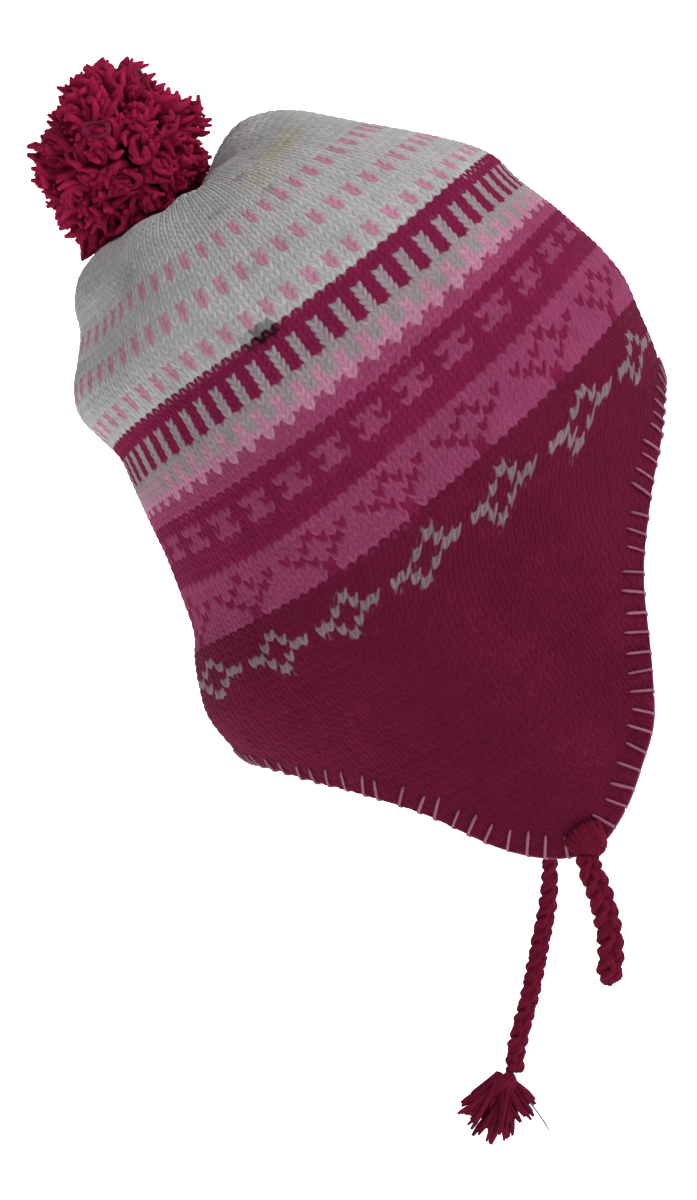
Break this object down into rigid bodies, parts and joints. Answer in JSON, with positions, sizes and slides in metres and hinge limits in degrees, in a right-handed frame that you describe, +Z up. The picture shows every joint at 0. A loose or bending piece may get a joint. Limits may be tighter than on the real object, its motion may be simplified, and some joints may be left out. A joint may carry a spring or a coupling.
{
  "type": "earflap hat",
  "caption": "Knitted earflap hat with a gathered crown, banded and diamond pattern, pompom, blanket-stitched edge and a braided tie on each flap",
  "frame": {"origin": "where the hat rests on the top of a head: the highest point inside the crown", "axes": "+X the way the wearer faces, +Y the wearer's left, +Z up, with the hat tipped back on the head"},
  "size_m": [0.2216, 0.1615, 0.3992],
  "materials": {
    "knitted_wool": "knitted, soft, matte",
    "pompom_yarn": "cut yarn, fuzzy, matte",
    "tie_yarn": "braided yarn, matte"
  },
  "bodies": {
    "root": {"hat_body": "knitted_wool", "pompom": "pompom_yarn", "tie_root_right": "tie_yarn", "tie_root_left": "tie_yarn", "tie_cord_right": "tie_yarn", "tie_cord_left": "tie_yarn", "tie_tassel_left": "tie_yarn"}
  },
  "joints": []
}
